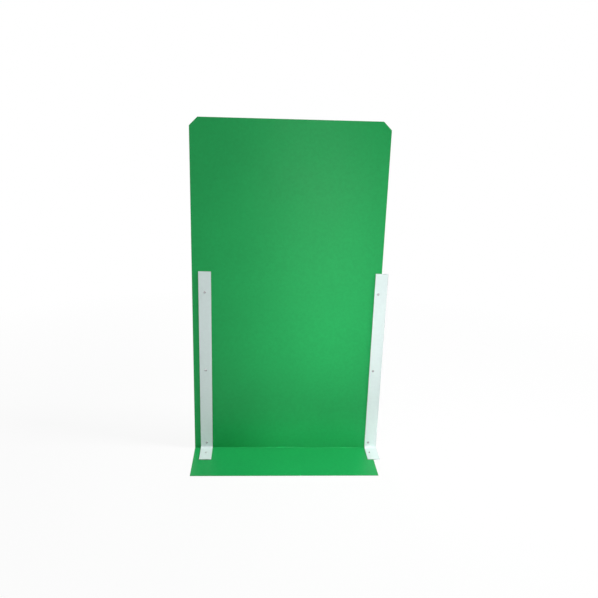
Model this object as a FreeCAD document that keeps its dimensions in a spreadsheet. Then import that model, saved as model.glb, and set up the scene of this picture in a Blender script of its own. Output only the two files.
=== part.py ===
import FreeCAD
import Part
import Sketcher
import math
import os

# Freestanding partition panel: one folded sheet, stiffened by two flat-bar brackets riveted to its front.
# Millimetres and degrees, +Z up. The front, with the foot and the brackets, faces -Y. The origin lies on
# the floor, on the sheet's centreline and halfway along the depth of the foot.

# Driving sizes: alias, value, what it measures.
SIZES = (
    ("sheet_width", 600, "sheet, left edge to right edge"),
    ("sheet_height", 1095, "sheet, outer fold corner to top edge, along the rear face"),
    ("foot_depth", 184, "sheet, outer fold corner to front edge of the foot"),
    ("sheet_thickness", 1.5, "sheet metal"),
    ("fold_radius", 2, "inner radius of the sheet's fold"),
    ("fold_lean", 2, "degrees that the upright leans forward over the foot"),
    ("corner_crop", 25, "leg of the 45 degree crop on both top corners"),
    ("bar_width", 40, "flat bar of the brackets"),
    ("bar_thickness", 3, "flat bar of the brackets"),
    ("bar_bend_radius", 6, "inner radius of the bar's bend"),
    ("bar_height", 625, "bracket, outer corner to upper end"),
    ("bar_foot", 84, "bracket, outer corner to front end"),
    ("bar_edge_break", 0.4, "broken long edges of the flat bar"),
    ("left_margin", 20, "sheet's left edge to the left bracket"),
    ("right_overlap", 20, "width of the right bracket that lies on the sheet"),
    ("right_edge_distance", 8, "right rivets to the sheet's right edge"),
    ("top_rivet_margin", 68, "bracket's upper end to its top rivet"),
    ("bottom_rivet_rise", 12, "end of the bar's bend to the bottom rivet"),
    ("rivet_diameter", 4, "rivet shank and the holes that it fills"),
    ("rivet_wall", 0.9, "wall of the hollow shank"),
    ("head_reach", 2, "raised head past the shank"),
    ("head_height", 1.4, "raised head, seat to mouth"),
    ("head_rim", 0.4, "upright rim of the raised head"),
    ("tail_flare", 1, "set tail past the shank"),
    ("tail_length", 3.6, "set tail behind the clamped metal"),
    ("mandrel_flare", 0.6, "mandrel head past its stem"),
    ("mandrel_head", 0.8, "mandrel head past the end of the tail"),
    ("mandrel_recess", 0.4, "broken stem below the mouth of the rivet"),
    ("countersink_angle", 120, "degrees, full angle of the foot rivets' heads"),
    ("countersink_land", 0.5, "straight part of the sheet's hole above the countersink"),
    ("foot_head_recess", 0.2, "foot rivets' heads above the floor"),
)
SIDES = ("left", "right")
LEVELS = ("bottom", "middle", "top")

# Expressions for what follows from the driving sizes.
# The inner corner of a leaning fold lies this many thicknesses from the outer one, along either leg.
CORNER_RATIO = "((1 + sin(sizes.fold_lean)) / cos(sizes.fold_lean))"
# The brackets' outer corner sits in the sheet's inner corner.
BRACKET_SEAT = f"(sizes.sheet_thickness * {CORNER_RATIO})"
BRACKET_Y = f"(sizes.foot_depth / 2 - {BRACKET_SEAT})"
BRACKET_X = {
    "left": "(sizes.left_margin - sizes.sheet_width / 2)",
    "right": "(sizes.sheet_width / 2 - sizes.right_overlap)",
}
# Rivet lines: across a bracket from its left edge, up it from its corner, and along its foot.
RIVET_LINE = {
    "left": "(sizes.bar_width / 2)",
    "right": "(sizes.right_overlap - sizes.right_edge_distance)",
}
BOTTOM_RIVET = f"((sizes.bar_bend_radius + sizes.bar_thickness) * {CORNER_RATIO} + sizes.bottom_rivet_rise)"
RIVET_SPAN = f"(sizes.bar_height - sizes.top_rivet_margin - {BOTTOM_RIVET})"
FOOT_RIVET = "(sizes.bar_foot / 2)"
# A bar's broken edges never use up its thickness.
EDGE_BREAK = "min(sizes.bar_edge_break; sizes.bar_thickness * 0.4)"
# Rivet radii, and the metal that a rivet clamps.
SHANK = "(sizes.rivet_diameter / 2)"
BORE = f"({SHANK} - sizes.rivet_wall)"
HEAD = f"({SHANK} + sizes.head_reach)"
TAIL = f"({SHANK} + sizes.tail_flare)"
MANDREL_HEAD = f"({BORE} + sizes.mandrel_flare)"
GRIP = "(sizes.sheet_thickness + sizes.bar_thickness)"
# The countersinks in the foot, measured up from the floor.
SINK_DEPTH = "(sizes.sheet_thickness - sizes.countersink_land)"
SINK_SLOPE = "tan(sizes.countersink_angle / 2)"

# What a sketch constraint calls the points of a segment, the origin and the axes.
START, FINISH, CENTRE = range(1, 4)
ACROSS_AXIS, ALONG_AXIS = range(-1, -3, -1)
ORIGIN = (ACROSS_AXIS, START)


def make_size_sheet(doc):
    """Spreadsheet with one row for each driving size."""
    sheet = doc.addObject("Spreadsheet::Sheet", "sizes")
    for row, (alias, value, meaning) in enumerate(SIZES, start=1):
        sheet.set(f"A{row}", meaning)
        sheet.set(f"B{row}", str(value))
        sheet.setAlias(f"B{row}", alias)
    doc.recompute()


def number(owner, expression):
    """What an expression is worth now, as a plain number."""
    return float(owner.evalExpression(expression))


def new_body(doc, label):
    body = doc.addObject("PartDesign::Body", label)
    body.Label = label
    return body


def place(body, x, y, z, turn=None):
    """Bind a body's place, and its turn about the X axis, to expressions."""
    if turn:
        body.Placement.Rotation = FreeCAD.Rotation(FreeCAD.Vector(1, 0, 0), number(body, turn))
        body.setExpression("Placement.Rotation.Angle", turn)
    for axis, expression in (("x", x), ("y", y), ("z", z)):
        body.setExpression(f"Placement.Base.{axis}", expression)


def new_sketch(body, name, role):
    """Sketch on one of the body's own origin planes."""
    sketch = body.newObject("Sketcher::SketchObject", f"{body.Name}_{name}")
    plane = next(feature for feature in body.Origin.OriginFeatures if feature.Role == role)
    sketch.AttachmentSupport = (plane, [""])
    sketch.MapMode = "FlatFace"
    return sketch


def new_feature(body, kind, name, profile):
    feature = body.newObject(f"PartDesign::{kind}", f"{body.Name}_{name}")
    feature.Profile = profile
    return feature


def constrain(sketch, kind, *targets):
    sketch.addConstraint(Sketcher.Constraint(kind, *targets))


def dimension(sketch, expression, kind, *targets):
    """Dimension of a sketch, bound to an expression."""
    value = number(sketch, expression)
    if kind == "Angle":
        value = math.radians(value)
    index = sketch.addConstraint(Sketcher.Constraint(kind, *targets, value))
    sketch.setExpression(f"Constraints[{index}]", expression)


def pin(sketch, segment, point, across, along):
    """Hold a point at two distances from the origin; None keeps it on that axis."""
    for kind, expression, axis in (("DistanceX", across, ALONG_AXIS), ("DistanceY", along, ACROSS_AXIS)):
        if expression is None:
            constrain(sketch, "PointOnObject", segment, point, axis)
        elif number(sketch, expression) < 0:
            dimension(sketch, f"-({expression})", kind, segment, point, *ORIGIN)
        else:
            dimension(sketch, expression, kind, *ORIGIN, segment, point)


# Outline of a strip that is folded once: its segments in drawing order.
FLOOR, OUTER_BEND, REAR, TOP, FRONT, INNER_BEND, STEP, END = range(8)


def draw_fold(sketch, upright, foot, wall, radius, lean):
    """Segments of a folded strip, with the sharp outer corner of the fold at the origin."""
    bend_end = (radius + wall) / math.tan((math.pi / 2 - lean) / 2)
    centre = FreeCAD.Vector(-bend_end, radius + wall, 0)

    def on_upright(along, out):
        forward = -along * math.sin(lean) - out * math.cos(lean)
        height = along * math.cos(lean) - out * math.sin(lean)
        return FreeCAD.Vector(forward, height, 0)

    def on_foot(along, out):
        return FreeCAD.Vector(-along, out, 0)

    def bend(bend_radius):
        circle = Part.Circle(centre, FreeCAD.Vector(0, 0, 1), bend_radius)
        return Part.ArcOfCircle(circle, -math.pi / 2, lean)

    sketch.addGeometry([
        Part.LineSegment(on_foot(foot, 0), on_foot(bend_end, 0)),
        bend(radius + wall),
        Part.LineSegment(on_upright(bend_end, 0), on_upright(upright, 0)),
        Part.LineSegment(on_upright(upright, 0), on_upright(upright, wall)),
        Part.LineSegment(on_upright(upright, wall), on_upright(bend_end, wall)),
        bend(radius),
        Part.LineSegment(on_foot(bend_end, wall), on_foot(foot, wall)),
        Part.LineSegment(on_foot(foot, wall), on_foot(foot, 0)),
    ])


def constrain_fold(sketch):
    """Tangent bends with one centre, a flat foot, and an upright of the same thickness."""
    constrain(sketch, "Tangent", FLOOR, FINISH, OUTER_BEND, START)
    constrain(sketch, "Tangent", OUTER_BEND, FINISH, REAR, START)
    constrain(sketch, "Coincident", REAR, FINISH, TOP, START)
    constrain(sketch, "Coincident", TOP, FINISH, FRONT, START)
    constrain(sketch, "Tangent", FRONT, FINISH, INNER_BEND, FINISH)
    constrain(sketch, "Tangent", INNER_BEND, START, STEP, START)
    constrain(sketch, "Coincident", STEP, FINISH, END, START)
    constrain(sketch, "Coincident", END, FINISH, FLOOR, START)
    constrain(sketch, "Coincident", OUTER_BEND, CENTRE, INNER_BEND, CENTRE)
    constrain(sketch, "PointOnObject", FLOOR, START, ACROSS_AXIS)
    constrain(sketch, "Horizontal", FLOOR)
    constrain(sketch, "PointOnObject", *ORIGIN, REAR)
    constrain(sketch, "Horizontal", STEP)
    constrain(sketch, "Vertical", END)
    constrain(sketch, "Perpendicular", REAR, TOP)
    constrain(sketch, "Parallel", REAR, FRONT)


def folded_strip(body, width, upright, foot, wall, radius):
    """Strip of metal folded once, padded from its left edge at the body's origin."""
    sketch = new_sketch(body, "profile", "YZ_Plane")
    lean = math.radians(number(body, "sizes.fold_lean"))
    draw_fold(sketch, *(number(body, size) for size in (upright, foot, wall, radius)), lean)
    constrain_fold(sketch)
    dimension(sketch, "90 + sizes.fold_lean", "Angle", REAR)
    dimension(sketch, radius, "Radius", INNER_BEND)
    dimension(sketch, wall, "Distance", END)
    dimension(sketch, foot, "DistanceX", FLOOR, START, *ORIGIN)
    dimension(sketch, upright, "Distance", *ORIGIN, REAR, FINISH)
    strip = new_feature(body, "Pad", "strip", sketch)
    strip.setExpression("Length", width)
    body.Document.recompute()


def dress_edges(body, kind, name, size, expression, wanted):
    """Chamfer or fillet on the edges of the body's last feature that are wanted."""
    base = body.Tip
    names = [f"Edge{i}" for i, edge in enumerate(base.Shape.Edges, start=1) if wanted(edge)]
    dressing = body.newObject(f"PartDesign::{kind}", f"{body.Name}_{name}")
    dressing.Base = (base, names)
    dressing.setExpression(size, expression)
    body.Document.recompute()


def crop_top_corners(body):
    """45 degree crops on the two upper corners of the sheet."""
    wall = number(body, "sizes.sheet_thickness")
    low = body.Shape.BoundBox.ZMax - wall

    def at_corner(edge):
        return edge.BoundBox.ZMin > low and edge.BoundBox.XLength < wall

    dress_edges(body, "Chamfer", "crops", "Size", "sizes.corner_crop", at_corner)


def break_long_edges(body):
    """Narrow chamfers down both sides of a bracket's bar, up to its square-cut ends."""
    wall = number(body, "sizes.bar_thickness")
    near = wall / 100

    def along_side(edge):
        is_end = isinstance(edge.Curve, Part.Line) and abs(edge.Length - wall) < near
        return edge.BoundBox.XLength < near and not is_end

    dress_edges(body, "Chamfer", "broken_edges", "Size", EDGE_BREAK, along_side)


def rivet_circles(body, name, role, columns, along):
    """Sketch with one rivet-sized circle in each column."""
    sketch = new_sketch(body, name, role)
    for column in columns:
        centre = FreeCAD.Vector(number(body, column), number(body, along), 0)
        circle = Part.Circle(centre, FreeCAD.Vector(0, 0, 1), number(body, SHANK))
        segment = sketch.addGeometry(circle)
        dimension(sketch, "sizes.rivet_diameter", "Diameter", segment)
        pin(sketch, segment, CENTRE, column, along)
    return sketch


def require_cut(body, volume_before):
    """Stop if a drilling step has taken nothing away."""
    body.Document.recompute()
    if body.Shape.Volume >= volume_before:
        raise RuntimeError(f"{body.Tip.Name} cuts nothing")


def drill_upright(body, columns, corner_gap):
    """Rows of rivet holes, square through the leaning upright."""
    volume = body.Shape.Volume
    sketch = rivet_circles(body, "upright_holes", "XZ_Plane", columns, f"{corner_gap} + {BOTTOM_RIVET}")
    tilt = FreeCAD.Rotation(FreeCAD.Vector(1, 0, 0), number(body, "sizes.fold_lean"))
    sketch.AttachmentOffset = FreeCAD.Placement(FreeCAD.Vector(0, 0, 0), tilt)
    sketch.setExpression("AttachmentOffset.Rotation.Angle", "sizes.fold_lean")
    drill = new_feature(body, "Pocket", "upright_drill", sketch)
    drill.Reversed = True
    drill.setExpression("Length", GRIP)
    body.Document.recompute()
    rows = body.newObject("PartDesign::LinearPattern", f"{body.Name}_rivet_rows")
    rows.Originals = [drill]
    rows.Direction = (sketch, ["V_Axis"])
    rows.Occurrences = len(LEVELS)
    rows.setExpression("Length", RIVET_SPAN)
    body.Tip = rows
    require_cut(body, volume)


def drill_foot(body, columns, corner_gap, countersunk=False):
    """Rivet holes up through the foot, countersunk from below where the heads have to clear the floor."""
    volume = body.Shape.Volume
    sketch = rivet_circles(body, "foot_holes", "XY_Plane", columns, f"-({corner_gap} + {FOOT_RIVET})")
    drill = new_feature(body, "Hole", "foot_drill", sketch)
    body.Document.recompute()
    drill.Reversed = True
    drill.ThreadType = "None"
    drill.DepthType = "Dimension"
    drill.DrillPoint = "Flat"
    drill.setExpression("Depth", GRIP)
    drill.setExpression("Diameter", "sizes.rivet_diameter")
    if countersunk:
        drill.HoleCutType = "Countersink"
        drill.HoleCutCustomValues = True
        drill.setExpression("HoleCutDiameter", f"sizes.rivet_diameter + 2 * {SINK_DEPTH} * {SINK_SLOPE}")
        drill.setExpression("HoleCutCountersinkAngle", "sizes.countersink_angle")
    require_cut(body, volume)


def make_sheet(doc):
    """The folded sheet, cropped at the top and drilled for both brackets."""
    body = new_body(doc, "panel_sheet")
    left_edge = "(-sizes.sheet_width / 2)"
    folded_strip(
        body, "sizes.sheet_width", "sizes.sheet_height", "sizes.foot_depth",
        "sizes.sheet_thickness", "sizes.fold_radius",
    )
    crop_top_corners(body)
    columns = [f"{BRACKET_X[side]} + {RIVET_LINE[side]} - {left_edge}" for side in SIDES]
    drill_upright(body, columns, BRACKET_SEAT)
    drill_foot(body, columns, BRACKET_SEAT, countersunk=True)
    place(body, left_edge, "sizes.foot_depth / 2", "0")
    return body


def make_bracket(doc, side):
    """Bent flat bar that lies on the front of the upright and on top of the foot."""
    body = new_body(doc, f"{side}_bracket")
    folded_strip(
        body, "sizes.bar_width", "sizes.bar_height", "sizes.bar_foot",
        "sizes.bar_thickness", "sizes.bar_bend_radius",
    )
    break_long_edges(body)
    drill_upright(body, [RIVET_LINE[side]], "0")
    drill_foot(body, [RIVET_LINE[side]], "0")
    place(body, BRACKET_X[side], BRACKET_Y, "sizes.sheet_thickness")
    return body


def turned_solid(body, corners):
    """Solid turned about the body's Z axis, from the corners of its outline as radius and depth."""
    sketch = new_sketch(body, "outline", "XZ_Plane")
    points = []
    for radius, depth in corners:
        points.append(FreeCAD.Vector(number(body, radius or "0"), number(body, depth or "0"), 0))
    following = points[1:] + points[:1]
    sketch.addGeometry([Part.LineSegment(start, end) for start, end in zip(points, following)])
    for segment, (radius, depth) in enumerate(corners):
        constrain(sketch, "Coincident", segment, FINISH, (segment + 1) % len(corners), START)
        pin(sketch, segment, START, radius, depth)
    turning = new_feature(body, "Revolution", "turning", sketch)
    turning.ReferenceAxis = (sketch, ["V_Axis"])
    turning.Angle = 360
    body.Document.recompute()


# Heads of the two kinds of rivet, from the mouth of the bore to the shank. Depth runs into the work.
RAISED_HEAD = [
    (BORE, None),
    (HEAD, "sizes.head_height - sizes.head_rim"),
    (HEAD, "sizes.head_height"),
    (SHANK, "sizes.head_height"),
]
SUNK_HEAD = [
    (BORE, "sizes.foot_head_recess"),
    (f"{SHANK} + ({SINK_DEPTH} - sizes.foot_head_recess) * {SINK_SLOPE}", "sizes.foot_head_recess"),
    (SHANK, SINK_DEPTH),
]


def tail_corners(back):
    """Shank and set tail: behind the work the tube is upset to a barrel, held by the mandrel's head."""
    end = f"({back} + sizes.tail_length)"
    return [(SHANK, back), (TAIL, back), (TAIL, end), (BORE, end)]


def mandrel_corners(mouth, back):
    """Stem broken off below the rivet's mouth, with the head that holds the tail open."""
    top = f"({mouth} + sizes.mandrel_recess)"
    end = f"({back} + sizes.tail_length)"
    crown = f"({end} + sizes.mandrel_head)"
    return [(None, top), (BORE, top), (BORE, end), (MANDREL_HEAD, end), (MANDREL_HEAD, crown), (None, crown)]


def make_fastener(doc, name, where, head, mouth, back):
    """One set blind rivet and the mandrel left inside it, on the same axis."""
    rivet = new_body(doc, f"{name}_rivet")
    turned_solid(rivet, head + tail_corners(back))
    mandrel = new_body(doc, f"{name}_mandrel")
    turned_solid(mandrel, mandrel_corners(mouth, back))
    for body in (rivet, mandrel):
        place(body, *where)
    return [rivet, mandrel]


def make_upright_fastener(doc, side, level):
    """Raised-head rivet through a bracket and the sheet, set from the front."""
    share = LEVELS.index(level) / (len(LEVELS) - 1)
    along = f"({BOTTOM_RIVET} + {RIVET_SPAN} * {share})"
    out = "(sizes.bar_thickness + sizes.head_height)"
    where = (
        f"{BRACKET_X[side]} + {RIVET_LINE[side]}",
        f"{BRACKET_Y} - {along} * sin(sizes.fold_lean) - {out} * cos(sizes.fold_lean)",
        f"sizes.sheet_thickness + {along} * cos(sizes.fold_lean) - {out} * sin(sizes.fold_lean)",
        "sizes.fold_lean - 90",
    )
    back = f"(sizes.head_height + {GRIP})"
    return make_fastener(doc, f"{side}_{level}", where, RAISED_HEAD, "0", back)


def make_foot_fastener(doc, side):
    """Countersunk rivet through the foot, set from below so that the sheet lies flat on the floor."""
    where = (f"{BRACKET_X[side]} + {RIVET_LINE[side]}", f"{BRACKET_Y} - {FOOT_RIVET}", "0")
    return make_fastener(doc, f"{side}_foot", where, SUNK_HEAD, "sizes.foot_head_recess", GRIP)


def require_sound(doc, bodies):
    """Stop before anything is written if a feature failed or a piece isn't one whole solid."""
    for item in doc.Objects:
        if {"Invalid", "Error"} & set(item.State):
            raise RuntimeError(f"{item.Name} failed: {item.State}")
    for body in bodies:
        shape = body.Shape
        if shape.isNull() or not shape.isValid() or len(shape.Solids) != 1:
            raise RuntimeError(f"{body.Label} is not one sound solid")


def main():
    os.makedirs("parts", exist_ok=True)
    doc = FreeCAD.newDocument("partition_panel")
    make_size_sheet(doc)
    bodies = [make_sheet(doc)]
    for side in SIDES:
        bodies.append(make_bracket(doc, side))
        for level in LEVELS:
            bodies += make_upright_fastener(doc, side, level)
        bodies += make_foot_fastener(doc, side)
    doc.recompute()
    require_sound(doc, bodies)
    for body in bodies:
        body.Shape.exportStep(f"parts/{body.Label}.step")
        print(f"{body.Label}: {body.Shape.Volume:.1f} mm3")


main()
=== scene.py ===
# %% [markdown]
# # A freestanding partition panel
# The real object is one green sheet of steel, folded once so that its front strip lies on the floor as
# a foot. Two white flat bars, bent to the same angle, stiffen the fold and are held by blind rivets.
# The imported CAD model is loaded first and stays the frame: every piece below is made in its place, in
# metres.

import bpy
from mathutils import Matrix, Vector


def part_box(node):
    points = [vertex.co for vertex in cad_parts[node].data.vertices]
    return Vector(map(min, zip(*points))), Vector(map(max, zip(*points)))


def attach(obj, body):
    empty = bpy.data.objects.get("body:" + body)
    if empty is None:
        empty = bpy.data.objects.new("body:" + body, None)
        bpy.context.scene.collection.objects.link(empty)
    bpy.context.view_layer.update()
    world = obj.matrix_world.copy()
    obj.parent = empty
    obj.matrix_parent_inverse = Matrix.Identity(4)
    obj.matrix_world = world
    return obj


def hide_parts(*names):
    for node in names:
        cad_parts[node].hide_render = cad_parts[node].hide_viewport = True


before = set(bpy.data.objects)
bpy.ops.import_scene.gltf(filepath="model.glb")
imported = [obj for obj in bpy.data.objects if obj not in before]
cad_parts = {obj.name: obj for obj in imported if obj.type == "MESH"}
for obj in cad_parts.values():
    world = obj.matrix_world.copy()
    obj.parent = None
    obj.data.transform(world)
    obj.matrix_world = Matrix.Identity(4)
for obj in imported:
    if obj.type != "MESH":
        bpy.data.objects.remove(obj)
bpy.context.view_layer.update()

# %% [markdown]
# ## Sizes
# Thickness, bend radius and lean can't be read from a box, so they are written here once, in
# millimetres turned to metres. The rest could be typed in too, but two copies of a size drift apart, so
# it comes from the frame. The upright leans, so its length is its height over the cosine of the lean.
# The origin lies halfway along the foot, so the foot's front edge also tells where the fold is. The
# bars sit in the inside of the fold, so their outer corner lies a little in from the sheet's: the seat.

# %% Metal and fold
import math

MM = 0.001
SHEET_THICKNESS = 1.5 * MM
SHEET_BEND = 2 * MM
BAR_THICKNESS = 3 * MM
BAR_BEND = 6 * MM
LEAN = math.radians(2)
FOLD_ANGLE = math.radians(90) + LEAN
# How far from the sharp corner a bend begins, as a multiple of its radius.
CORNER_RATIO = math.tan(FOLD_ANGLE / 2)
print("the metal is folded through", round(math.degrees(FOLD_ANGLE)), "degrees")

# %% Lengths from the frame
sheet_low, sheet_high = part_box("panel_sheet")
bar_low, bar_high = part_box("left_bracket")
SHEET_HEIGHT = (sheet_high.z - sheet_low.z) / math.cos(LEAN)
FOOT_DEPTH = -2 * sheet_low.y
SEAT = SHEET_THICKNESS * CORNER_RATIO
BAR_CORNER_Y = FOOT_DEPTH / 2 - SEAT
BAR_HEIGHT = (bar_high.z - bar_low.z) / math.cos(LEAN)
BAR_FOOT = BAR_CORNER_Y - bar_low.y
print("upright and foot of the sheet:", round(SHEET_HEIGHT / MM, 1), round(FOOT_DEPTH / MM, 1), "mm")
print("upright and foot of the bars:", round(BAR_HEIGHT / MM, 1), round(BAR_FOOT / MM, 1), "mm")

# %% [markdown]
# ## Helpers for node trees
# Materials and Geometry Nodes are both graphs of nodes. Small functions make a node and feed its
# inputs, either with a plain value or with a link from another node. They keep each graph below short
# enough to read.

# %% Node helpers
import bpy


def feed(tree, node, feeds):
    """Give each named input of a node a plain value, or a link from another node's socket."""
    for name, source in feeds.items():
        if isinstance(source, bpy.types.NodeSocket):
            tree.links.new(source, node.inputs[name])
        else:
            node.inputs[name].default_value = source


def add_node(tree, kind, feeds, **settings):
    """New node with its settings made and its inputs fed."""
    made = tree.nodes.new(kind)
    for name, value in settings.items():
        setattr(made, name, value)
    feed(tree, made, feeds)
    return made


def calculate(tree, operation, first, second=0.0):
    """Output of one Math node."""
    return add_node(tree, "ShaderNodeMath", {0: first, 1: second}, operation=operation).outputs[0]


print("node helpers ready")

# %% [markdown]
# ## Powder coat
# Sheet and bars are powder coated: dry paint is blown on and baked, and it flows to a skin with a faint
# orange peel. A flat colour would look like plastic film, so the coat is built in layers. A broad noise
# clouds the colour, one of about a centimetre is the uneven film, and a fine one is the grain of the
# powder. White hides them better than green, so the bars get less of them. The orange peel is a bump
# with lumps about two millimetres wide. All of it reads Object coordinates, so the grain keeps its real
# size.

# %% Surface helpers
def new_surface(name):
    """New material, its node tree, its shader and the place on the piece that its patterns read."""
    material = bpy.data.materials.new(name)
    material.use_nodes = True
    tree = material.node_tree
    where = add_node(tree, "ShaderNodeTexCoord", {}).outputs["Object"]
    return material, tree, tree.nodes["Principled BSDF"], where


def noise(tree, where, grain, detail=2.0, roughness=0.55):
    """Noise whose lumps are about as wide as the grain, in metres."""
    feeds = {"Vector": where, "Scale": 1 / grain, "Detail": detail, "Roughness": roughness}
    return add_node(tree, "ShaderNodeTexNoise", feeds).outputs["Fac"]


def spread(tree, value, low, high, start=0.3, end=0.7):
    """Value moved from its usual range to the range from low to high, and kept there."""
    feeds = {"Value": value, "From Min": start, "From Max": end, "To Min": low, "To Max": high}
    return add_node(tree, "ShaderNodeMapRange", feeds).outputs["Result"]


def tinted(tree, colour, shade):
    """Colour made darker or lighter by a shade about 1."""
    return add_node(tree, "ShaderNodeHueSaturation", {"Color": colour, "Value": shade}).outputs["Color"]


def dented(tree, height, strength, depth):
    """Normal of a surface with dents of a depth in metres."""
    feeds = {"Height": height, "Strength": strength, "Distance": depth}
    return add_node(tree, "ShaderNodeBump", feeds).outputs["Normal"]


print("surface helpers ready")

# %% [markdown]
# Powder draws back from a cut edge. The coat is thinner there, and that is where it chips. Pointiness
# could find the edges, but what it finds depends on how fine the mesh is. So the rim of each piece
# carries a number, and the coat darkens and lets bare steel through there, in small flakes, and nowhere
# else. The darkening is partly the thin coat and partly painted shade, which stands in for the shade along
# the cut edges, such as the front edge of the foot where it meets the floor.

# %% Layers of the coat
CLOUDS = {"grain": 350 * MM, "detail": 2.0, "swing": 0.04}
FILM = {"grain": 9 * MM, "detail": 2.0, "swing": 0.04}
POWDER = {"grain": 1.2 * MM, "detail": 1.0, "swing": 0.035}
# How much darker the rim is: partly a thinner coat, partly painted shade along the cut edges.
THIN_COAT_AND_SHADE = 0.4
FLAKE_GRAIN = 6 * MM
FLAKE_START = 0.62
FLAKE_END = 0.68


def coat_shade(tree, where, edge, patchiness):
    """Lightness of the coat: varied by layers, more if patchy; darker rim: thin coat plus painted shade."""
    # Darker rim: partly thin coat, partly painted shade.
    shade = spread(tree, edge, 1.0, 1.0 - THIN_COAT_AND_SHADE, start=0.0, end=1.0)
    for layer in (CLOUDS, FILM, POWDER):
        pattern = noise(tree, where, layer["grain"], layer["detail"])
        swing = layer["swing"] * patchiness
        varied = spread(tree, pattern, 1 - swing, 1 + swing)
        shade = calculate(tree, "MULTIPLY", shade, varied)
    return shade


def chipped_off(tree, where, edge):
    """1 where a flake of the coat is gone from an edge, else 0."""
    pattern = noise(tree, where, FLAKE_GRAIN, detail=4.0)
    flakes = spread(tree, pattern, 0.0, 1.0, start=FLAKE_START, end=FLAKE_END)
    return calculate(tree, "MULTIPLY", edge, flakes)


print("coat layers:", [round(layer["grain"] / MM, 1) for layer in (CLOUDS, FILM, POWDER)], "mm")

# %% Powder coat material
BARE_STEEL = (0.30, 0.29, 0.27, 1.0)
STEEL_METALLIC = 0.8
SMEAR_GRAIN = 90 * MM
SMOOTHER = 0.03
ROUGHER = 0.04
PEEL_GRAIN = 2.2 * MM
PEEL_STRENGTH = 0.32
PEEL_DEPTH = 0.2 * MM
# A Mix node has sockets for several kinds of data. These are the numbers of those for colour.
MIX_SHARE, MIX_FROM, MIX_TO, MIX_RESULT = 0, 6, 7, 2


def powder_coat(name, paint, roughness, sheen_level, patchiness):
    """Baked powder coat of one colour: orange peel, powder grain, chipped edges, rim darkened by thin coat
    and painted shade.
    """
    material, tree, shader, where = new_surface(name)
    # The rim mark: where the coat chips, and where it is darkened, partly as thin coat and partly as
    # painted shade.
    edge = add_node(tree, "ShaderNodeAttribute", {}, attribute_name="wear_and_shade_rim").outputs["Fac"]
    chips = chipped_off(tree, where, edge)
    shade = coat_shade(tree, where, edge, patchiness)
    colours = {MIX_FROM: tinted(tree, paint, shade), MIX_TO: BARE_STEEL}
    mixed = add_node(tree, "ShaderNodeMix", {MIX_SHARE: chips, **colours}, data_type="RGBA")
    smears = noise(tree, where, SMEAR_GRAIN, detail=3.0)
    peel = noise(tree, where, PEEL_GRAIN, detail=1.0)
    feed(tree, shader, {
        "Base Color": mixed.outputs[MIX_RESULT],
        "Metallic": calculate(tree, "MULTIPLY", chips, STEEL_METALLIC),
        "Roughness": spread(tree, smears, roughness - SMOOTHER, roughness + ROUGHER),
        "Specular IOR Level": sheen_level,
        "Normal": dented(tree, peel, PEEL_STRENGTH, PEEL_DEPTH),
    })
    return material


print("orange peel has lumps of", round(PEEL_GRAIN / MM, 1), "mm")

# %% The two coats
SHEET_GREEN = (0.0130, 0.335, 0.083, 1.0)
BAR_WHITE = (0.665, 0.765, 0.755, 1.0)
green_coat = powder_coat(
    "green_powder_coat", SHEET_GREEN, roughness=0.37, sheen_level=0.15, patchiness=1.0,
)
white_coat = powder_coat(
    "white_powder_coat", BAR_WHITE, roughness=0.42, sheen_level=0.3, patchiness=0.4,
)
print("coats:", green_coat.name, white_coat.name)

# %% [markdown]
# ## Rivet metals
# The rivets are bare aluminium, and the broken mandrel inside each one is zinc-plated steel. On the
# foot the tails show. Heads and tails are copies of one aluminium in two tints: the heads darker, and the
# tails lighter, as painted light. All are metals, so their colour is the tint of what they reflect.
# Fine scratches keep the small domes from looking like chrome.

# %% Bare metal material
RUBBED_DARK = 0.85
RUBBED_BRIGHT = 1.1
POLISHED = 0.1
DULLED = 0.12
SCRATCH_GRAIN = 0.4 * MM
SCRATCH_STRENGTH = 0.25
SCRATCH_DEPTH = 0.05 * MM


def bare_metal(name, tint, roughness, grain):
    """Dull bare metal with rubbed patches and fine handling scratches."""
    material, tree, shader, where = new_surface(name)
    patches = noise(tree, where, grain, detail=4.0)
    scratches = noise(tree, where, SCRATCH_GRAIN, detail=3.0)
    feed(tree, shader, {
        "Base Color": tinted(tree, tint, spread(tree, patches, RUBBED_DARK, RUBBED_BRIGHT)),
        "Metallic": 1.0,
        "Roughness": spread(tree, patches, roughness - POLISHED, roughness + DULLED),
        "Normal": dented(tree, scratches, SCRATCH_STRENGTH, SCRATCH_DEPTH),
    })
    return material


print("scratches lie about", round(SCRATCH_GRAIN / MM, 1), "mm apart")

# %% The three metals
# Two tints of the same aluminium: darker for the heads, and lighter for the tails, which is painted light.
HEAD_TINT = (0.40, 0.41, 0.42, 1.0)
TAIL_TINT_PAINTED_LIGHTER = (0.60, 0.61, 0.62, 1.0)
MANDREL_TINT = (0.50, 0.50, 0.48, 1.0)
rivet_aluminium = bare_metal("rivet_aluminium", HEAD_TINT, roughness=0.42, grain=1.6 * MM)
# The tails on the foot get the lighter tint: painted light.
tail_aluminium_painted_lighter = bare_metal("tail_aluminium_painted_lighter", TAIL_TINT_PAINTED_LIGHTER, roughness=0.42, grain=1.6 * MM)
mandrel_steel = bare_metal("mandrel_steel", MANDREL_TINT, roughness=0.5, grain=0.9 * MM)
print("metals:", rivet_aluminium.name, tail_aluminium_painted_lighter.name, mandrel_steel.name)

# %% [markdown]
# ## Flat blanks
# A shop cuts each piece flat, with all its holes, and folds it afterwards. The scene does the same. The
# blank is an outline with round holes, filled and raised to the thickness of the metal. Its outer edges
# are rounded a little, as paint rounds them, and the whole rim is marked for wear and for painted shade.
# Boolean cuts could make the holes too, but a filled outline leaves cleaner faces.

# %% Outline, fill and thickness
import bmesh

HOLE_STEPS = 32


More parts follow.
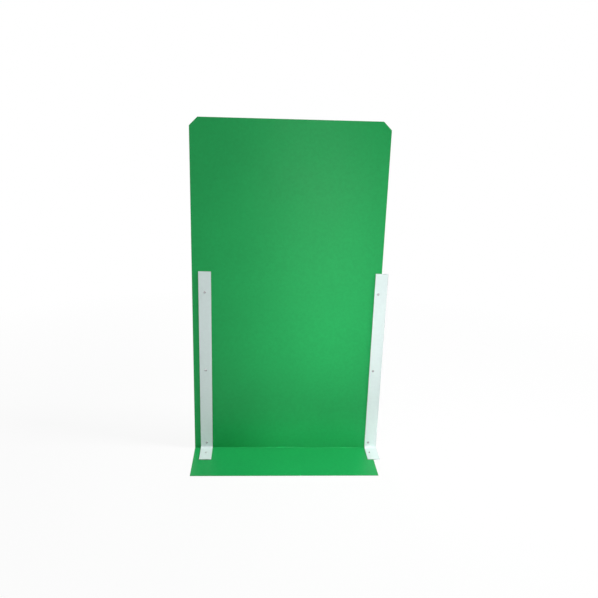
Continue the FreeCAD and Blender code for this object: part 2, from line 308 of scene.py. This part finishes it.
def closed_loop(bm, points):
    """Ring of edges through the points, flat on the blank's lower face."""
    corners = [bm.verts.new((across, along, 0.0)) for across, along in points]
    for start, end in zip(corners, corners[1:] + corners[:1]):
        bm.edges.new((start, end))


def round_hole(centre, radius):
    """Points of a hole in the blank."""
    turns = [2 * math.pi * step / HOLE_STEPS for step in range(HOLE_STEPS)]
    return [(centre[0] + radius * math.cos(turn), centre[1] + radius * math.sin(turn)) for turn in turns]


def plate(outline, holes, thickness, stations):
    """Flat plate with holes, and with cross lines at the stations where it will bend."""
    bm = bmesh.new()
    for points in [outline] + holes:
        closed_loop(bm, points)
    bmesh.ops.triangle_fill(bm, use_beauty=True, edges=bm.edges[:])
    for along in stations:
        everything = bm.verts[:] + bm.edges[:] + bm.faces[:]
        bmesh.ops.bisect_plane(bm, geom=everything, plane_co=(0, along, 0), plane_no=(0, 1, 0))
    extruded = bmesh.ops.extrude_face_region(bm, geom=bm.faces[:])["geom"]
    upper = [part for part in extruded if isinstance(part, bmesh.types.BMVert)]
    bmesh.ops.translate(bm, vec=(0, 0, thickness), verts=upper)
    bmesh.ops.recalc_face_normals(bm, faces=bm.faces[:])
    return bm


print("blanks can be cut, with", HOLE_STEPS, "steps round a hole")

# %% Rounded edges
EDGE_SEGMENTS = 3
SHARP_TURN = math.radians(40)
FLAT_TURN = math.radians(10)


def in_hole(point, centres, reach):
    """Whether a point lies within reach of the middle of a hole."""
    return any(math.hypot(point.x - across, point.y - along) < reach for across, along in centres)


def middle_of(edge):
    """Point halfway along an edge."""
    return (edge.verts[0].co + edge.verts[1].co) / 2


def round_edges(bm, centres, reach, width):
    """Round the outer edges, leave the holes sharp, and mark the whole rim, with its roundings, for wear
    and painted shade.
    """
    rim_wear_and_shade = bm.faces.layers.float.new("wear_and_shade_rim")
    sharp = [edge for edge in bm.edges if edge.calc_face_angle(0) > SHARP_TURN]
    outer = [edge for edge in sharp if not in_hole(middle_of(edge), centres, reach)]
    bmesh.ops.bevel(
        bm, geom=outer, offset=width, offset_type="OFFSET", segments=EDGE_SEGMENTS, profile=0.5,
        affect="EDGES",
    )
    bm.normal_update()
    # Rim faces get 1: their coat chips and is darkened, partly as thin coat, partly as painted shade.
    for face in bm.faces:
        face.smooth = True
        is_flat = abs(face.normal.z) > math.cos(FLAT_TURN)
        face[rim_wear_and_shade] = 0.0 if is_flat or in_hole(face.calc_center_median(), centres, reach) else 1.0
    for edge in bm.edges:
        marks = {face[rim_wear_and_shade] for face in edge.link_faces}
        edge.smooth = len(marks) == 1 and edge.calc_face_angle(0) < SHARP_TURN


print("edges are rounded in", EDGE_SEGMENTS, "steps")

# %% [markdown]
# ## The fold
# A Simple Deform modifier can bend a strip, but it is hard to give it a real radius. Folding follows a
# rule, so Geometry Nodes do it. Up to the bend a point stays on the foot. Inside the bend it turns
# about the bend's centre, and past the bend it goes straight on up the leaning upright. The blank's own
# Y is the length along the strip and its Z is the depth in the metal. One tree folds the sheet and both
# bars.

# %% Fold tree
FLOAT, VECTOR, WHOLE, FINISH = "NodeSocketFloat", "NodeSocketVector", "NodeSocketInt", "NodeSocketMaterial"


def new_tree(name, sockets):
    """Geometry Nodes tree with named inputs, the sockets that they arrive at, and their identifiers."""
    tree = bpy.data.node_groups.new(name, "GeometryNodeTree")
    tree.interface.new_socket("Geometry", in_out="INPUT", socket_type="NodeSocketGeometry")
    ids = {}
    for label, kind in sockets:
        ids[label] = tree.interface.new_socket(label, in_out="INPUT", socket_type=kind).identifier
    tree.interface.new_socket("Geometry", in_out="OUTPUT", socket_type="NodeSocketGeometry")
    return tree, add_node(tree, "NodeGroupInput", {}).outputs, ids


def close_tree(tree, geometry, finish):
    """Last nodes of a tree: real geometry with its finish."""
    real = add_node(tree, "GeometryNodeRealizeInstances", {"Geometry": geometry}).outputs[0]
    painted = add_node(tree, "GeometryNodeSetMaterial", {"Geometry": real, "Material": finish}).outputs[0]
    add_node(tree, "NodeGroupOutput", {"Geometry": painted})


fold_tree, fold_in, fold_ids = new_tree("fold_strip", [
    ("Bend start", FLOAT), ("Inner radius", FLOAT), ("Thickness", FLOAT), ("Fold angle", FLOAT),
    ("Bend centre", FLOAT), ("Resting height", FLOAT), ("Finish", FINISH),
])
print("fold tree inputs:", ", ".join(fold_ids))

# %% Fold rule
blank_place = add_node(fold_tree, "GeometryNodeInputPosition", {}).outputs[0]
blank_axes = add_node(fold_tree, "ShaderNodeSeparateXYZ", {"Vector": blank_place}).outputs
across, along, depth = blank_axes["X"], blank_axes["Y"], blank_axes["Z"]


def fold_math(operation, first, second=0.0):
    """Output of one Math node of the fold tree."""
    return calculate(fold_tree, operation, first, second)


outer_radius = fold_math("ADD", fold_in["Inner radius"], fold_in["Thickness"])
half_thickness = fold_math("DIVIDE", fold_in["Thickness"], 2.0)
middle_radius = fold_math("SUBTRACT", outer_radius, half_thickness)
past_foot = fold_math("SUBTRACT", along, fold_in["Bend start"])
unlimited_turn = fold_math("MAXIMUM", fold_math("DIVIDE", past_foot, middle_radius), 0.0)
turned = fold_math("MINIMUM", unlimited_turn, fold_in["Fold angle"])
bend_length = fold_math("MULTIPLY", middle_radius, fold_in["Fold angle"])
past_bend = fold_math("MAXIMUM", fold_math("SUBTRACT", past_foot, bend_length), 0.0)
on_foot = fold_math("MINIMUM", past_foot, 0.0)
arm = fold_math("SUBTRACT", outer_radius, depth)
sine = fold_math("SINE", turned)
cosine = fold_math("COSINE", turned)
print("fold rule uses", len(fold_tree.nodes), "nodes")

# %% Folded position
rearward = fold_math("ADD", on_foot, fold_math("MULTIPLY", arm, sine))
rearward = fold_math("ADD", rearward, fold_math("MULTIPLY", past_bend, cosine))
rearward = fold_math("ADD", rearward, fold_in["Bend centre"])
height = fold_math("SUBTRACT", outer_radius, fold_math("MULTIPLY", arm, cosine))
height = fold_math("ADD", height, fold_math("MULTIPLY", past_bend, sine))
height = fold_math("ADD", height, fold_in["Resting height"])
folded_place = add_node(fold_tree, "ShaderNodeCombineXYZ", {"X": across, "Y": rearward, "Z": height})
folded = add_node(fold_tree, "GeometryNodeSetPosition", {
    "Geometry": fold_in["Geometry"], "Position": folded_place.outputs[0],
})
close_tree(fold_tree, folded.outputs[0], fold_in["Finish"])
print("fold tree:", len(fold_tree.nodes), "nodes")

# %% Run a tree and keep a plain mesh
def run_tree(name, mesh, tree, ids, values):
    """Object whose mesh is what the tree makes of the given one, with no modifier left on it."""
    piece = bpy.data.objects.new(name, mesh)
    bpy.context.scene.collection.objects.link(piece)
    step = piece.modifiers.new(tree.name, "NODES")
    step.node_group = tree
    for label, value in values.items():
        step[ids[label]] = value
    made = bpy.data.meshes.new_from_object(piece.evaluated_get(bpy.context.evaluated_depsgraph_get()))
    piece.modifiers.remove(step)
    piece.data = made
    made.name = name
    return piece


print("trees can be run")

# %% [markdown]
# Before a strip is folded, the shop works out its flat length. The drawing measures both legs to the
# sharp outer corner, which the bend never reaches, so each leg loses a setback there and the bend adds
# the arc of its middle layer. The blank gets cross lines through the bend, and one close by on either
# side keeps the flats flat.

# %% Strips
from collections import namedtuple

Strip = namedtuple("Strip", "thickness radius setback bend_start bend_end length")
BEND_STEPS = 12


def unfold(upright, foot, radius, thickness):
    """Lengths along a flat blank, from those of its two legs."""
    setback = (radius + thickness) * CORNER_RATIO
    bend_start = foot - setback
    bend_end = bend_start + FOLD_ANGLE * (radius + thickness / 2)
    return Strip(thickness, radius, setback, bend_start, bend_end, bend_end + upright - setback)


def bend_stations(strip):
    """Where the cross lines of a blank lie."""
    step = (strip.bend_end - strip.bend_start) / BEND_STEPS
    inside = [strip.bend_start + step * count for count in range(BEND_STEPS + 1)]
    return [strip.bend_start - strip.thickness] + inside + [strip.bend_end + strip.thickness]


def fold_blank(name, bm, strip, front, rest, finish):
    """Piece folded from a blank, with the front edge of its foot and its underside where they belong."""
    mesh = bpy.data.meshes.new(name + "_blank")
    bm.to_mesh(mesh)
    bm.free()
    return run_tree(name, mesh, fold_tree, fold_ids, {
        "Bend start": strip.bend_start, "Inner radius": strip.radius, "Thickness": strip.thickness,
        "Fold angle": FOLD_ANGLE, "Bend centre": front + strip.bend_start, "Resting height": rest,
        "Finish": finish,
    })


SHEET = unfold(SHEET_HEIGHT, FOOT_DEPTH, SHEET_BEND, SHEET_THICKNESS)
BAR = unfold(BAR_HEIGHT, BAR_FOOT, BAR_BEND, BAR_THICKNESS)
print("blanks are", round(SHEET.length / MM, 1), "and", round(BAR.length / MM, 1), "mm long")

# %% [markdown]
# ## Rivet places
# Holes in sheet and bars have to meet, so both read the same list. Up each bar three rivets are spaced
# evenly, and one more goes through the foot. The left column runs up the middle of its bar. The right
# one sits close to the sheet's edge, because that bar laps past the sheet to the next panel.

# %% Rivet columns and rows
RIVET_RADIUS = 2 * MM
BOTTOM_RISE = 12 * MM
TOP_MARGIN = 68 * MM
EDGE_DISTANCE = 8 * MM
BOTTOM_RIVET = BAR.setback + BOTTOM_RISE
TOP_RIVET = BAR_HEIGHT - TOP_MARGIN
FOOT_RIVET = BAR_FOOT / 2
ROWS = [BOTTOM_RIVET, (BOTTOM_RIVET + TOP_RIVET) / 2, TOP_RIVET]
COLUMNS = {"left": (bar_low.x + bar_high.x) / 2, "right": sheet_high.x - EDGE_DISTANCE}


def strip_holes(strip, columns, seat):
    """Hole centres on a flat blank; the seat is how far the bars' corner lies inside the strip's own."""
    upright = strip.bend_end - strip.setback + seat
    foot = strip.bend_start + strip.setback - seat
    return [(x, upright + row) for x in columns for row in ROWS] + [(x, foot - FOOT_RIVET) for x in columns]


print("rivet rows up the bars:", [round(row / MM, 1) for row in ROWS], "mm")

# %% [markdown]
# ## The sheet
# The blank is 600 mm wide with both top corners cropped at 45 degrees, so that nobody catches a sharp
# corner. The two foot holes are countersunk from below, because the rivet heads there have to clear the
# floor. A cone could be cut out too, but it is enough to push the lower rim of the hole outwards.

# %% Sheet blank
CORNER_CROP = 25 * MM
left, right = sheet_low.x, sheet_high.x
sheet_outline = [
    (left, 0.0), (right, 0.0), (right, SHEET.length - CORNER_CROP), (right - CORNER_CROP, SHEET.length),
    (left + CORNER_CROP, SHEET.length), (left, SHEET.length - CORNER_CROP),
]
sheet_holes = strip_holes(SHEET, COLUMNS.values(), SEAT)
sheet_hole_rims = [round_hole(centre, RIVET_RADIUS) for centre in sheet_holes]
sheet_blank = plate(sheet_outline, sheet_hole_rims, SHEET_THICKNESS, bend_stations(SHEET))
print("sheet blank has", len(sheet_holes), "holes")

# %% Countersinks in the foot
SINK_DEPTH = 1.0 * MM
SINK_SLOPE = math.tan(math.radians(60))
SINK_RADIUS = RIVET_RADIUS + SINK_DEPTH * SINK_SLOPE
JUST_PAST = 1.01


def countersink(bm, centre):
    """Open the lower rim of a hole to a cone, and keep a straight land above it."""
    reach = RIVET_RADIUS * JUST_PAST

    def from_centre(vertex):
        """How far a vertex lies from the hole's axis, across and along the blank."""
        return vertex.co.x - centre[0], vertex.co.y - centre[1]

    def on_wall(vertex):
        """Whether a vertex lies on the wall of the hole."""
        return math.hypot(*from_centre(vertex)) < reach

    walls = [face for face in bm.faces if all(on_wall(vertex) for vertex in face.verts)]
    parts = set(walls)
    for face in walls:
        parts.update(face.edges)
        parts.update(face.verts)
    bmesh.ops.bisect_plane(bm, geom=list(parts), plane_co=(0, 0, SINK_DEPTH), plane_no=(0, 0, 1))
    for vertex in bm.verts:
        if on_wall(vertex) and vertex.co.z < SINK_DEPTH / 2:
            out = from_centre(vertex)
            vertex.co.x = centre[0] + out[0] * SINK_RADIUS / RIVET_RADIUS
            vertex.co.y = centre[1] + out[1] * SINK_RADIUS / RIVET_RADIUS


for foot_hole in sheet_holes[-len(COLUMNS):]:
    countersink(sheet_blank, foot_hole)
print("countersinks open to", round(2 * SINK_RADIUS / MM, 2), "mm")

# %% Folded sheet
SHEET_ROUNDING = 0.3 * MM
CLEAR_OF_HOLES = 1.1
round_edges(sheet_blank, sheet_holes, SINK_RADIUS * CLEAR_OF_HOLES, SHEET_ROUNDING)
panel = fold_blank(
    "folded_sheet", sheet_blank, SHEET, front=sheet_low.y, rest=sheet_low.z, finish=green_coat,
)
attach(panel, "root")
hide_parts("panel_sheet")
print("folded sheet:", len(panel.data.polygons), "faces")

# %% [markdown]
# ## The two bars
# Both brackets are 40 mm flat bar, bent over a wider radius than the sheet. They lie on the front of
# the upright and on top of the foot, so the bar's outer corner sits in the sheet's inner one. The same
# blank and fold are used for both, and only the rivet column differs.

# %% Bent bars
BAR_ROUNDING = 0.45 * MM


def bent_bar(side):
    """White bracket of one side, riding on the frame in place of its node."""
    low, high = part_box(side + "_bracket")
    holes = strip_holes(BAR, [COLUMNS[side]], seat=0.0)
    outline = [(low.x, 0.0), (high.x, 0.0), (high.x, BAR.length), (low.x, BAR.length)]
    rims = [round_hole(centre, RIVET_RADIUS) for centre in holes]
    blank = plate(outline, rims, BAR_THICKNESS, bend_stations(BAR))
    round_edges(blank, holes, RIVET_RADIUS * CLEAR_OF_HOLES, BAR_ROUNDING)
    bar = fold_blank(side + "_bent_bar", blank, BAR, front=low.y, rest=low.z, finish=white_coat)
    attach(bar, "root")
    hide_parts(side + "_bracket")
    return bar


bars = {side: bent_bar(side) for side in COLUMNS}
print("bars:", {bar.name: len(bar.data.polygons) for bar in bars.values()})

# %% [markdown]
# ## Blind rivets
# A blind rivet is set from one side. Pulling the mandrel swells the tail behind the work, then the stem
# snaps just inside the head. Every rivet and mandrel is a turned shape, so its half outline is written
# once, as radius and height above the seat, and Geometry Nodes turn it and set a copy in each hole.

# %% Head and tail outlines
HEAD_RADIUS = 4 * MM
HEAD_HEIGHT = 1.4 * MM
HEAD_RIM = 0.35 * MM
BORE = 1.1 * MM
LIP = 0.3 * MM
LIP_DEPTH = 0.2 * MM
EASE = 0.1 * MM
TAIL_RADIUS = 3 * MM
TAIL_LENGTH = 3.6 * MM
TAIL_STEPS = 10
FULLNESS = 0.3
NEAR_WORK = 1.5


def quarter_round(out, up, reach, rise, steps):
    """Points of a quarter ellipse, from its crown, which lies above out, to its side, which lies at up."""
    turns = [math.radians(90) * step / steps for step in range(steps + 1)]
    return [(out + reach * math.sin(turn), up + rise * math.cos(turn)) for turn in turns]


def domed_head():
    """Head from the bore over its lip and dome, round the rim and under it to the shank."""
    crown = BORE + LIP
    lip = quarter_round(crown, HEAD_HEIGHT - LIP_DEPTH, reach=-LIP, rise=LIP_DEPTH, steps=3)
    reach = HEAD_RADIUS - crown
    dome = quarter_round(crown, HEAD_RIM, reach, rise=HEAD_HEIGHT - HEAD_RIM, steps=8)
    return lip[:0:-1] + dome + [(HEAD_RADIUS, EASE), (HEAD_RADIUS - EASE, 0.0), (RIVET_RADIUS, 0.0)]


def swollen_tail(back):
    """Shank behind the work, pressed by the mandrel's head to a barrel that is fullest near the work."""
    barrel = []
    for step in range(1, TAIL_STEPS):
        share = step / TAIL_STEPS
        swell = (TAIL_RADIUS - RIVET_RADIUS) * math.sin(math.pi * share) ** FULLNESS
        barrel.append((RIVET_RADIUS + swell, back - TAIL_LENGTH * share ** NEAR_WORK))
    end = back - TAIL_LENGTH
    return [(RIVET_RADIUS, back)] + barrel + [(RIVET_RADIUS, end), (BORE, end)]


GRIP = SHEET_THICKNESS + BAR_THICKNESS
print("head outline:", len(domed_head()), "points, tail outline:", len(swollen_tail(-GRIP)), "points")

# %% Sunk head and mandrel outlines
FLOOR_CLEARANCE = 0.2 * MM
SUNK_RADIUS = RIVET_RADIUS + (SINK_DEPTH - FLOOR_CLEARANCE) * SINK_SLOPE
FIT = 0.02 * MM
STEM = BORE - FIT
BREAK = 0.15 * MM
MANDREL_FLARE = 0.6 * MM
MANDREL_RADIUS = BORE + MANDREL_FLARE
MANDREL_HEAD = 0.8 * MM
BALL = 0.45 * MM


def sunk_head():
    """Countersunk head whose face lies just above the floor."""
    face = -FLOOR_CLEARANCE
    mouth = [(BORE, face - EASE), (BORE + EASE, face)]
    rim = [(SUNK_RADIUS - 2 * EASE, face), (SUNK_RADIUS - EASE, face - EASE / SINK_SLOPE)]
    return mouth + rim + [(RIVET_RADIUS, -SINK_DEPTH)]


def mandrel(stem_end, back):
    """Broken stem inside the bore, and the round head that holds the tail open."""
    shoulder = back - TAIL_LENGTH - FIT
    tip = back - TAIL_LENGTH - MANDREL_HEAD
    stem = quarter_round(0.0, stem_end - BREAK, reach=STEM, rise=BREAK, steps=3)
    ball = quarter_round(0.0, tip + BALL, reach=MANDREL_RADIUS, rise=-BALL, steps=4)
    return stem + [(STEM, shoulder), (MANDREL_RADIUS, shoulder)] + ball[::-1]


print("sunk head is", round(2 * SUNK_RADIUS / MM, 2), "mm across")

# %% [markdown]
# The tree turns the outline by sweeping it round a small circle, then sets a copy on every point of two
# short columns. Modelling one rivet and copying it by hand would work for eight, but the tree moves all
# of them when a row or a column moves.

# %% Turning and setting tree
LATHE = 1 * MM
POLE_REACH = 0.001 * MM
set_tree, set_in, set_ids = new_tree("set_turned_rows", [
    ("Turning steps", WHOLE), ("Rows", WHOLE), ("First row", VECTOR), ("Row step", VECTOR),
    ("Column step", VECTOR), ("Tilt", VECTOR), ("Finish", FINISH),
])


def set_node(kind, feeds):
    """First output of a new node in the setting tree."""
    return add_node(set_tree, "GeometryNode" + kind, feeds).outputs[0]


half_outline = set_node("MeshToCurve", {"Mesh": set_in["Geometry"]})
ring = set_node("CurvePrimitiveCircle", {"Resolution": set_in["Turning steps"], "Radius": LATHE})
swept = set_node("CurveToMesh", {"Curve": ring, "Profile Curve": half_outline})
turned_shape = set_node("MergeByDistance", {"Geometry": swept, "Distance": POLE_REACH})
line = set_node("MeshLine", {
    "Count": set_in["Rows"], "Start Location": set_in["First row"], "Offset": set_in["Row step"],
})
next_line = set_node("Transform", {"Geometry": line, "Translation": set_in["Column step"]})
spots = add_node(set_tree, "GeometryNodeJoinGeometry", {})
for column in (line, next_line):
    set_tree.links.new(column, spots.inputs[0])
copies = set_node("InstanceOnPoints", {
    "Points": spots.outputs[0], "Instance": turned_shape, "Rotation": set_in["Tilt"],
})
close_tree(set_tree, copies, set_in["Finish"])
print("set tree:", len(set_tree.nodes), "nodes")

# %% Set one kind of fastener
TURNING_STEPS = 40
CREASE = math.radians(38)
COLUMN_STEP = (COLUMNS["right"] - COLUMNS["left"], 0.0, 0.0)


def outward(mesh):
    """Turn all faces outwards, and smooth all but the sharp edges."""
    bm = bmesh.new()
    bm.from_mesh(mesh)
    bmesh.ops.recalc_face_normals(bm, faces=bm.faces[:])
    for face in bm.faces:
        face.smooth = True
    for edge in bm.edges:
        edge.smooth = edge.calc_face_angle(0) < CREASE
    bm.to_mesh(mesh)
    bm.free()


def set_rows(name, points, is_ring, rows, first, row_step, tilt, finish):
    """Turned shapes in both columns as one mesh; a ring outline is closed, others end on the axis."""
    mesh = bpy.data.meshes.new(name + "_outline")
    vertices = [(radius - LATHE, -height, 0.0) for radius, height in points]
    joins = len(points) if is_ring else len(points) - 1
    edges = [(count, (count + 1) % len(points)) for count in range(joins)]
    mesh.from_pydata(vertices, edges, [])
    piece = run_tree(name, mesh, set_tree, set_ids, {
        "Turning steps": TURNING_STEPS, "Rows": rows, "First row": first, "Row step": row_step,
        "Column step": COLUMN_STEP, "Tilt": (tilt, 0.0, 0.0), "Finish": finish,
    })
    outward(piece.data)
    return piece


print("fasteners can be set")

# %% Upright rivets
STEM_RECESS = 0.4 * MM


def on_bar_front(row):
    """Place in the left column on the front face of its bar, a row's distance up from the outer corner."""
    y = BAR_CORNER_Y - row * math.sin(LEAN) - BAR_THICKNESS * math.cos(LEAN)
    z = bar_low.z + row * math.cos(LEAN) - BAR_THICKNESS * math.sin(LEAN)
    return COLUMNS["left"], y, z


first_row = on_bar_front(ROWS[0])
upright_rows = {
    "rows": len(ROWS),
    "first": first_row,
    "row_step": tuple(after - before for before, after in zip(first_row, on_bar_front(ROWS[1]))),
    "tilt": FOLD_ANGLE,
}
upright_rivets = set_rows(
    "upright_rivets", domed_head() + swollen_tail(-GRIP), is_ring=True, finish=rivet_aluminium,
    **upright_rows,
)
upright_mandrels = set_rows(
    "upright_mandrels", mandrel(HEAD_HEIGHT - STEM_RECESS, -GRIP), is_ring=False, finish=mandrel_steel,
    **upright_rows,
)
print("upright rivets:", len(upright_rivets.data.polygons), "faces")
print("upright mandrels:", len(upright_mandrels.data.polygons), "faces")

# %% Foot rivets
foot_rows = {
    "rows": 1,
    "first": (COLUMNS["left"], BAR_CORNER_Y - FOOT_RIVET, sheet_low.z),
    "row_step": (0.0, 0.0, 0.0),
    "tilt": math.pi,
}
foot_rivets = set_rows(
    "foot_rivets", sunk_head() + swollen_tail(-GRIP), is_ring=True, finish=tail_aluminium_painted_lighter, **foot_rows,
)
foot_mandrels = set_rows(
    "foot_mandrels", mandrel(-FLOOR_CLEARANCE - STEM_RECESS, -GRIP), is_ring=False, finish=mandrel_steel,
    **foot_rows,
)
print("foot rivets:", len(foot_rivets.data.polygons), "faces")
print("foot mandrels:", len(foot_mandrels.data.polygons), "faces")

# %% Fasteners stand for their CAD nodes
LEVELS = ("bottom", "middle", "top")


def stand_for(piece, kind, levels):
    """Let a row of fasteners ride on the frame, in place of the nodes of both sides."""
    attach(piece, "root")
    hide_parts(*[f"{side}_{level}_{kind}" for side in COLUMNS for level in levels])


stand_for(upright_rivets, "rivet", LEVELS)
stand_for(upright_mandrels, "mandrel", LEVELS)
stand_for(foot_rivets, "rivet", ["foot"])
stand_for(foot_mandrels, "mandrel", ["foot"])

# %% [markdown]
# ## Floor and white surround
# The photograph has a plain white surround. A floor that glowed for every ray would light the panel
# from below. Light Path tells the materials which rays come from the camera or from a reflection, and
# only those see white at strength 1. The rest of the light meets an ordinary pale floor, and a little
# of that lit floor is mixed in to keep the shadow. The floor lies a hair below the sheet, so that the
# two faces never share a place.

# %% White for the eye, pale for the light
WHITE = (1.0, 1.0, 1.0, 1.0)
PALE = (0.8, 0.8, 0.8, 1.0)
SHADOW_SHARE = 0.10
SHADOW_NEAR = 0.9
SHADOW_FAR = 2.2


def seen_directly(tree):
    """1 for rays from the camera, a reflection or a see-through surface, else 0."""
    path = add_node(tree, "ShaderNodeLightPath", {}).outputs
    seen = calculate(tree, "MAXIMUM", path["Is Camera Ray"], path["Is Glossy Ray"])
    return calculate(tree, "MAXIMUM", seen, path["Is Transmission Ray"])


def mixed_shader(tree, share, first, second):
    """Shader that goes from the first to the second as the share goes from 0 to 1."""
    return add_node(tree, "ShaderNodeMixShader", {0: share, 1: first, 2: second}).outputs[0]


def pale_floor():
    """Floor that looks white, with a share of its own lit colour kept near the object for the shadow."""
    material = bpy.data.materials.new("pale_studio_floor")
    material.use_nodes = True
    tree = material.node_tree
    tree.nodes.clear()
    where = add_node(tree, "ShaderNodeTexCoord", {}).outputs["Object"]
    away = add_node(tree, "ShaderNodeVectorMath", {0: where}, operation="LENGTH").outputs["Value"]
    whiteness = spread(tree, away, 1 - SHADOW_SHARE, 1.0, start=SHADOW_NEAR, end=SHADOW_FAR)
    share = calculate(tree, "MULTIPLY", seen_directly(tree), whiteness)
    lit = add_node(tree, "ShaderNodeBsdfDiffuse", {"Color": PALE}).outputs[0]
    white = add_node(tree, "ShaderNodeEmission", {"Color": WHITE, "Strength": 1.0}).outputs[0]
    add_node(tree, "ShaderNodeOutputMaterial", {"Surface": mixed_shader(tree, share, lit, white)})
    return material


print("floor keeps", SHADOW_SHARE, "of its shadow")

# %% Floor
FLOOR_HALF = 20.0
FLOOR_DROP = 0.2 * MM
floor_corners = [
    (x * FLOOR_HALF, y * FLOOR_HALF, -FLOOR_DROP) for x, y in ((-1, -1), (1, -1), (1, 1), (-1, 1))
]
floor_mesh = bpy.data.meshes.new("studio_floor")
floor_mesh.from_pydata(floor_corners, [], [range(len(floor_corners))])
floor_mesh.materials.append(pale_floor())
floor = bpy.data.objects.new("studio_floor", floor_mesh)
bpy.context.scene.collection.objects.link(floor)
print("floor lies", FLOOR_DROP, "m below the sheet")

# %% World
AMBIENT = 0.3
world = bpy.data.worlds.new("studio_surround")
bpy.context.scene.world = world
world.use_nodes = True
sky = world.node_tree
sky.nodes.clear()
surround = add_node(sky, "ShaderNodeBackground", {"Color": WHITE, "Strength": 1.0}).outputs[0]
soft_fill = add_node(sky, "ShaderNodeBackground", {"Color": WHITE, "Strength": AMBIENT}).outputs[0]
both = mixed_shader(sky, seen_directly(sky), soft_fill, surround)
add_node(sky, "ShaderNodeOutputWorld", {"Surface": both})
print("surround fills at", AMBIENT)

# %% [markdown]
# ## Studio light
# The photograph shows an upright streak of sheen right of the middle, a right side that is brighter
# than the left, and a foot that is brighter than the upright just above the fold. One big lamp can't
# give all of that. A tall strip beside the camera makes the streak, and a pool and a low strip lift the
# right side. A high softbox lights the foot, and a weak fill keeps the left side open. Grids on the
# front lamps keep their light where it is wanted. The rear lamp is narrower than the panel, so that
# none of its light comes round to the foot. Together they light the front at about 1, so that a colour
# renders much as it is written. Places and sizes are in metres, power in watts and grids in degrees.

# %% Softbox
from mathutils import Vector


def softbox(name, place, target, width, height, power, grid=180):
    """Soft lamp that points at a target; a grid on its face narrows the beam to an angle in degrees."""
    lamp = bpy.data.lights.new(name, "AREA")
    lamp.shape = "RECTANGLE"
    lamp.size = width
    lamp.size_y = height
    lamp.energy = power
    lamp.spread = math.radians(grid)
    stand = bpy.data.objects.new(name, lamp)
    stand.location = place
    stand.rotation_mode = "QUATERNION"
    stand.rotation_quaternion = (Vector(target) - Vector(place)).to_track_quat("-Z", "Y")
    stand.visible_camera = False
    bpy.context.scene.collection.objects.link(stand)
    print(name, "gives", power, "W")


print("softboxes can be placed")

# %% Front lamps
softbox(
    "tall_strip", place=(0.15, -1.9, 0.65), target=(0.12, 0.08, 0.65),
    width=0.22, height=1.0, power=0.275, grid=25,
)
softbox(
    "middle_pool", place=(0.33, -1.4, 0.7), target=(0.2, 0.08, 0.44),
    width=0.3, height=0.5, power=0.39, grid=35,
)
softbox(
    "low_strip", place=(0.34, -1.2, 0.09), target=(0.21, 0.09, 0.03),
    width=0.65, height=0.05, power=0.092, grid=13,
)
softbox(
    "left_fill", place=(-1.2, -1.6, 0.9), target=(-0.2, 0.08, 0.55),
    width=0.5, height=0.8, power=0.95, grid=60,
)

# %% High and rear lamps
softbox(
    "high_softbox", place=(1.4, -0.3, 2.6), target=(0.1, -0.05, 0.0),
    width=0.5, height=0.5, power=71.0,
)
softbox(
    "rear_softbox", place=(0.0, 2.0, 0.9), target=(0.0, 0.0, 0.55),
    width=0.56, height=1.0, power=9.0,
)

# %% [markdown]
# ## Camera
# The camera's place, angles and lens were worked out from the panel's corners and rivets in the
# photograph, because a view set by eye leaves the edges some pixels off. It stands about two metres in
# front of the panel and 1.15 m up, a little to the left. It looks about 16 degrees down and is rolled
# by less than two. Its angles are written in radians.

# %% Camera
from mathutils import Matrix

IMAGE_SIDE = 598
FOCAL_PIXELS = 688.2
SENSOR = 36.0
YAW, PITCH, ROLL = 0.0608, -0.2822, 0.0291
CAMERA_PLACE = (-0.0896, -2.035, 1.1506)
camera_data = bpy.data.cameras.new("photo_view")
camera_data.sensor_width = SENSOR
camera_data.lens = SENSOR * FOCAL_PIXELS / IMAGE_SIDE
forward = Vector((math.sin(YAW) * math.cos(PITCH), math.cos(YAW) * math.cos(PITCH), math.sin(PITCH)))
level = Vector((math.cos(YAW), -math.sin(YAW), 0.0))
steep = level.cross(forward)
sideways = math.cos(ROLL) * level + math.sin(ROLL) * steep
upwards = math.cos(ROLL) * steep - math.sin(ROLL) * level
turn = Matrix((sideways, upwards, -forward)).transposed().to_4x4()
camera = bpy.data.objects.new("photo_view", camera_data)
camera.matrix_world = Matrix.Translation(CAMERA_PLACE) @ turn
bpy.context.scene.collection.objects.link(camera)
bpy.context.scene.camera = camera
bpy.context.scene.view_settings.view_transform = "Standard"
print("lens is", round(camera_data.lens, 2), "mm")
